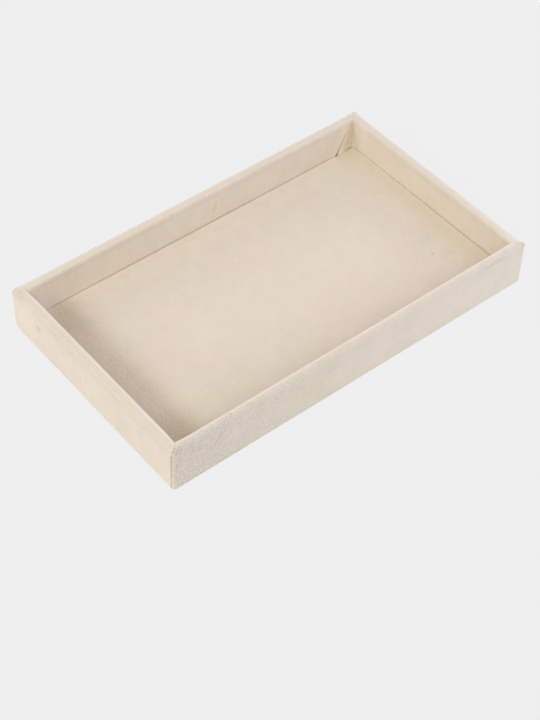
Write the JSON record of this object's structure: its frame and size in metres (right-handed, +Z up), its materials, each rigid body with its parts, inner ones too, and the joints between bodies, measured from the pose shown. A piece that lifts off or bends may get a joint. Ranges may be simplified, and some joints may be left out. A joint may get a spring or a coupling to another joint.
{
  "type": "jewelry tray",
  "caption": "Shallow rectangular jewelry tray with one open compartment, board walls and floor wrapped in beige velvet, for a drawer or a dressing table",
  "frame": {"origin": "the middle of the underside, where the tray rests", "axes": "+X along the long walls to the right, +Y across the tray to the back wall, +Z up out of the compartment"},
  "size_m": [0.25, 0.15, 0.031],
  "materials": {
    "velvet": "short-pile velvet, warm beige",
    "backing": "thin pressed felt, beige",
    "board": "raw fibreboard",
    "card": "grey board",
    "brad": "bright wire"
  },
  "bodies": {
    "root": {"bottom_sheet": "backing", "base_board": "board", "front_wall_board": "board", "back_wall_board": "board", "left_wall_board": "board", "right_wall_board": "board", "front_left_lower_brad": "brad", "front_left_upper_brad": "brad", "front_right_lower_brad": "brad", "front_right_upper_brad": "brad", "back_left_lower_brad": "brad", "back_left_upper_brad": "brad", "back_right_lower_brad": "brad", "back_right_upper_brad": "brad", "front_wall_cover": "velvet", "back_wall_cover": "velvet", "left_wall_cover": "velvet", "right_wall_cover": "velvet", "floor_pad_card": "card", "floor_pad_velvet": "velvet"}
  },
  "joints": []
}
